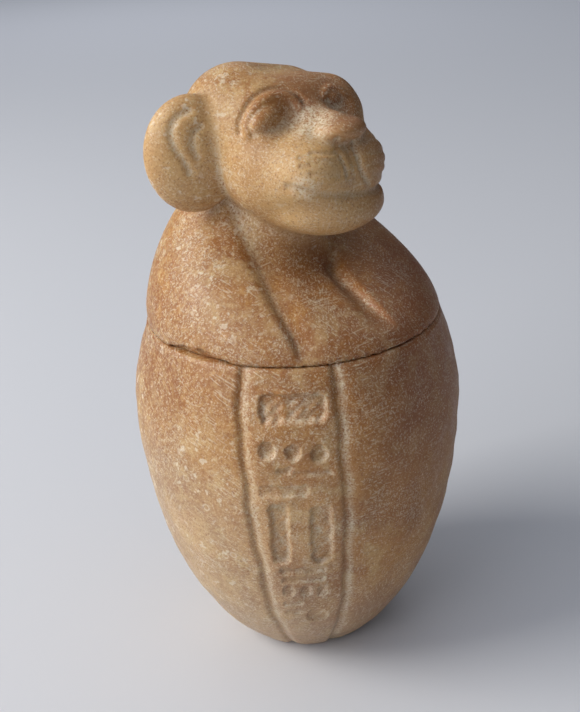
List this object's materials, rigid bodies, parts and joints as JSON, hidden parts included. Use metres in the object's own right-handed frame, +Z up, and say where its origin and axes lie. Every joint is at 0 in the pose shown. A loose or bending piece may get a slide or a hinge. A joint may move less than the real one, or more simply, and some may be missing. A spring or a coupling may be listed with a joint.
{
  "type": "canopic jar",
  "caption": "Hollow egg-shaped stone jar with a column of shallow carved strokes, closed by a lift-off lid carved as a baboon's head and shoulders.",
  "frame": {"origin": "centre of the jar's flat foot, on its underside", "axes": "+Z up the jar's axis; the column of carving faces -Y; the lid's face looks 42 degrees round from -Y towards +X"},
  "size_m": [0.0966, 0.0966, 0.1766],
  "materials": {
    "stone": "waxy honey-brown soft stone, rubbed smooth, with pale dust in the cuts"
  },
  "bodies": {
    "root": {"jar": "stone", "lid": "stone"}
  },
  "joints": []
}
